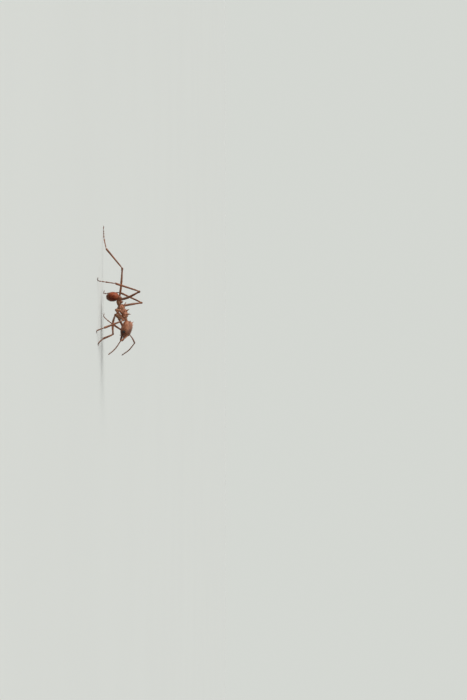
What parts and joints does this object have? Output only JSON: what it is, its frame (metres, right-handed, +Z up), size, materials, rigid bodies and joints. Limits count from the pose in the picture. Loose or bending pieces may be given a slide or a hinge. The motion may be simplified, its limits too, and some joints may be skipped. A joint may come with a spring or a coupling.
{
  "type": "leafcutter ant",
  "caption": "Reddish-brown leafcutter ant, a large forager in a walking stance, with a spiny thorax, heart-shaped head, elbowed feelers and long thin legs; still life-size model.",
  "frame": {"origin": "on the floor, under the middle of the model's bounding box", "axes": "+X towards the head end, +Y to the ant's left, +Z up from the floor it stands on"},
  "size_m": [0.0264, 0.023, 0.0083],
  "materials": {
    "cuticle_body": "satin reddish-brown shell with a fine grain",
    "cuticle_gaster": "smooth, dark chestnut, half gloss",
    "cuticle_leg": "satin brown, paler at the joints",
    "mandible": "dark, polished, nearly black at the teeth",
    "eye": "glossy black, finely faceted"
  },
  "bodies": {
    "root": {"head": "cuticle_body", "thorax": "cuticle_body", "petiole": "cuticle_body", "postpetiole": "cuticle_body", "gaster": "cuticle_gaster", "eye_left": "eye", "mandible_left": "mandible", "antenna_scape_left": "cuticle_leg", "antenna_flagellum_left": "cuticle_leg", "leg_front_left_coxa": "cuticle_leg", "leg_front_left_femur": "cuticle_leg", "leg_front_left_tibia": "cuticle_leg", "leg_front_left_tarsus": "cuticle_leg", "leg_middle_left_coxa": "cuticle_leg", "leg_middle_left_femur": "cuticle_leg", "leg_middle_left_tibia": "cuticle_leg", "leg_middle_left_tarsus": "cuticle_leg", "leg_hind_left_coxa": "cuticle_leg", "leg_hind_left_femur": "cuticle_leg", "leg_hind_left_tibia": "cuticle_leg", "leg_hind_left_tarsus": "cuticle_leg", "eye_right": "eye", "mandible_right": "mandible", "antenna_scape_right": "cuticle_leg", "antenna_flagellum_right": "cuticle_leg", "leg_front_right_coxa": "cuticle_leg", "leg_front_right_femur": "cuticle_leg", "leg_front_right_tibia": "cuticle_leg", "leg_front_right_tarsus": "cuticle_leg", "leg_middle_right_coxa": "cuticle_leg", "leg_middle_right_femur": "cuticle_leg", "leg_middle_right_tibia": "cuticle_leg", "leg_middle_right_tarsus": "cuticle_leg", "leg_hind_right_coxa": "cuticle_leg", "leg_hind_right_femur": "cuticle_leg", "leg_hind_right_tibia": "cuticle_leg", "leg_hind_right_tarsus": "cuticle_leg"}
  },
  "joints": []
}
